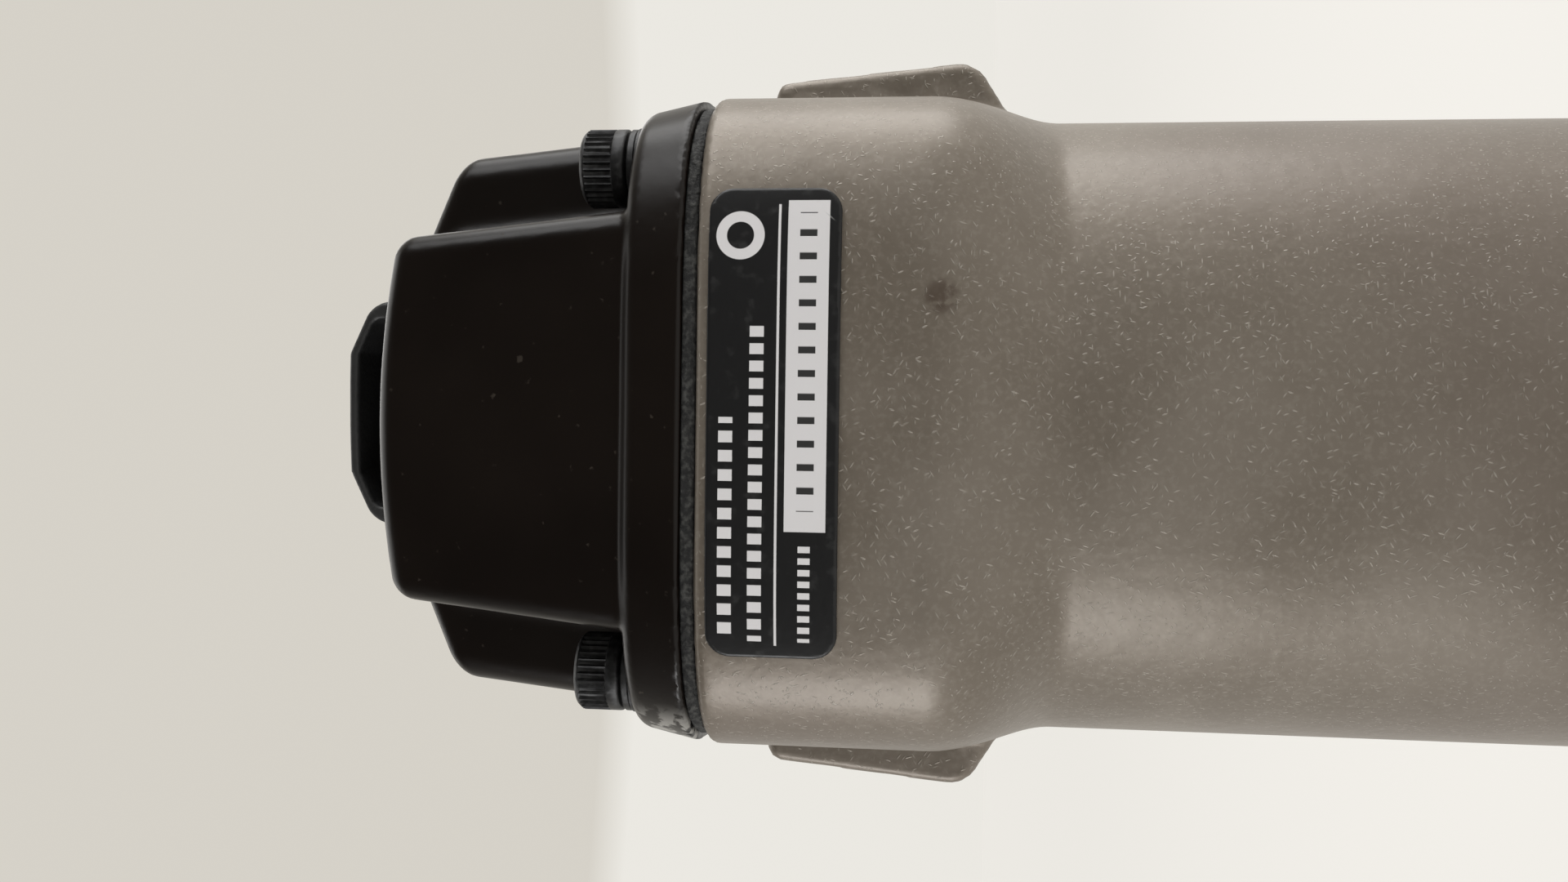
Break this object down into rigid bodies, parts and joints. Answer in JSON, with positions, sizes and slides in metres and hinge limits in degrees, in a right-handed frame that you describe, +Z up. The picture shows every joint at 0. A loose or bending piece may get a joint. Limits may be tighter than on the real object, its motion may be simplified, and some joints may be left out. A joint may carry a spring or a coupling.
{
  "type": "pneumatic finish nailer",
  "caption": "Hand-held air nailer: squared head with ribbed screws and exhaust hood on a round barrel, grip handle, trigger, nose with contact trip and straight magazine.",
  "frame": {"origin": "bottom centre of the tool's box: z = 0 is the work surface under the no-mar pad, x = 0 is the tool's middle plane, and the drive axis stands at y = -0.1141", "axes": "+Z up along the drive axis from nose to cap, +Y back along the handle to the air plug, +X to the contact rod's side"},
  "size_m": [0.0826, 0.302, 0.2892],
  "materials": {
    "paint": "taupe metallic paint with fine pale flecks, semi-gloss",
    "black_coat": "black semi-gloss coat on cast metal",
    "black_plastic": "moulded black plastic",
    "black_rubber": "soft black rubber",
    "gasket": "grainy black gasket sheet",
    "black_oxide": "black oxide steel",
    "steel": "bare ground steel",
    "aluminium": "bare aluminium",
    "dark_aluminium": "black anodised aluminium",
    "urethane": "amber urethane",
    "label": "satin black label film with plain pale bars"
  },
  "bodies": {
    "frame": {"housing": "paint", "rating_label": "label", "head_gasket": "gasket", "cylinder_cap": "black_coat", "cap_screw_1": "black_oxide", "cap_screw_2": "black_oxide", "cap_screw_3": "black_oxide", "cap_screw_4": "black_oxide", "cap_washer_1": "black_oxide", "cap_washer_2": "black_oxide", "cap_washer_3": "black_oxide", "cap_washer_4": "black_oxide", "deflector_screw": "black_oxide", "cylinder_sleeve": "aluminium", "sleeve_seal": "black_rubber", "bumper": "urethane", "head_valve_spring": "steel", "handle_grip": "black_rubber", "end_cap_gasket": "gasket", "end_cap": "black_coat", "end_cap_screw_1": "black_oxide", "end_cap_screw_2": "black_oxide", "end_cap_screw_3": "black_oxide", "end_cap_screw_4": "black_oxide", "air_plug": "steel", "trigger_pin": "steel", "valve_body": "black_plastic", "valve_cap": "aluminium", "valve_spring": "steel", "nose_body": "black_oxide", "nose_screw_1": "black_oxide", "nose_screw_2": "black_oxide", "nose_screw_3": "black_oxide", "nose_screw_4": "black_oxide", "door_hinge_pin": "steel", "contact_spring": "steel", "magazine_core": "aluminium", "magazine_bracket": "dark_aluminium", "bracket_bolt_upper": "black_oxide", "bracket_bolt_lower": "black_oxide", "rear_pad": "black_rubber"},
    "deflector": {"exhaust_deflector": "black_plastic"},
    "trigger": {"trigger": "black_plastic", "trigger_spring": "steel"},
    "rocker": {"rocker_lever": "steel"},
    "stem": {"valve_stem": "steel"},
    "contact_trip": {"contact_rod": "black_oxide"},
    "contact_foot": {"contact_foot": "steel", "no_mar_pad": "black_rubber"},
    "depth_wheel": {"depth_wheel": "dark_aluminium"},
    "nose_door": {"nose_door": "steel"},
    "door_latch": {"door_latch": "black_oxide"},
    "piston": {"piston": "aluminium", "piston_ring": "black_rubber", "driver_blade": "steel"},
    "head_valve": {"head_valve": "black_plastic"},
    "magazine_cover": {"magazine_cover": "dark_aluminium"},
    "nail_pusher": {"nail_pusher": "dark_aluminium", "pusher_spring": "steel"},
    "magazine_latch": {"magazine_latch": "black_plastic"}
  },
  "joints": [
    {"name": "deflector_spin", "type": "hinge", "parent": "frame", "child": "deflector", "pos_m": [0, -0.1141, 0.2782], "axis": [0, 0, 1], "continuous": true},
    {"name": "trigger_pull", "type": "hinge", "parent": "frame", "child": "trigger", "pos_m": [0, -0.0761, 0.147], "axis": [1, 0, 0], "range_deg": [0, 10], "stiffness_Nm_per_rad": 0.05, "springref_deg": -28.65},
    {"name": "rocker_tilt", "type": "hinge", "parent": "trigger", "child": "rocker", "pos_m": [0, -0.0571, 0.137], "axis": [1, 0, 0], "range_deg": [-14.5, 0]},
    {"name": "stem_push", "type": "slide", "parent": "frame", "child": "stem", "axis": [0, 0, 1], "range_m": [0, 0.0025], "deforming": ["valve_spring"]},
    {"name": "contact_press", "type": "slide", "parent": "frame", "child": "contact_trip", "axis": [0, 0, 1], "range_m": [0, 0.005], "stiffness_N_per_m": 400, "springref_m": -0.03, "deforming": ["contact_spring"]},
    {"name": "foot_adjust", "type": "slide", "parent": "contact_trip", "child": "contact_foot", "axis": [0, 0, 1], "range_m": [0, 0.003]},
    {"name": "depth_wheel_turn", "type": "hinge", "parent": "contact_foot", "child": "depth_wheel", "pos_m": [0.0215, -0.1141, 0.029], "axis": [0, 0, 1], "range_deg": [0, 1080]},
    {"name": "door_swing", "type": "hinge", "parent": "frame", "child": "nose_door", "pos_m": [0, -0.1196, 0.024], "axis": [1, 0, 0], "range_deg": [0, 70]},
    {"name": "door_latch_flip", "type": "hinge", "parent": "nose_door", "child": "door_latch", "pos_m": [0, -0.1253, 0.088], "axis": [1, 0, 0], "range_deg": [-100, 0]},
    {"name": "piston_drive", "type": "slide", "parent": "frame", "child": "piston", "axis": [0, 0, -1], "range_m": [0, 0.0837]},
    {"name": "head_valve_lift", "type": "slide", "parent": "frame", "child": "head_valve", "axis": [0, 0, 1], "range_m": [0, 0.004], "stiffness_N_per_m": 800, "springref_m": -0.01, "deforming": ["head_valve_spring"]},
    {"name": "magazine_slide", "type": "slide", "parent": "frame", "child": "magazine_cover", "axis": [0, 1, 0], "range_m": [0, 0.15]},
    {"name": "pusher_travel", "type": "slide", "parent": "frame", "child": "nail_pusher", "axis": [0, 1, 0], "range_m": [0, 0.172], "stiffness_N_per_m": 12, "springref_m": -0.3},
    {"name": "magazine_latch_tilt", "type": "hinge", "parent": "frame", "child": "magazine_latch", "pos_m": [0, 0.1201, 0.076], "axis": [1, 0, 0], "range_deg": [0, 25], "stiffness_Nm_per_rad": 0.02, "springref_deg": -34.38}
  ],
  "couplings": [
    {"joint": "rocker_tilt", "follows": "contact_press", "rad_per_m": -50},
    {"joint": "stem_push", "follows": "trigger_pull", "m_per_rad": 0.0138},
    {"joint": "depth_wheel_turn", "follows": "foot_adjust", "rad_per_m": 6283}
  ]
}
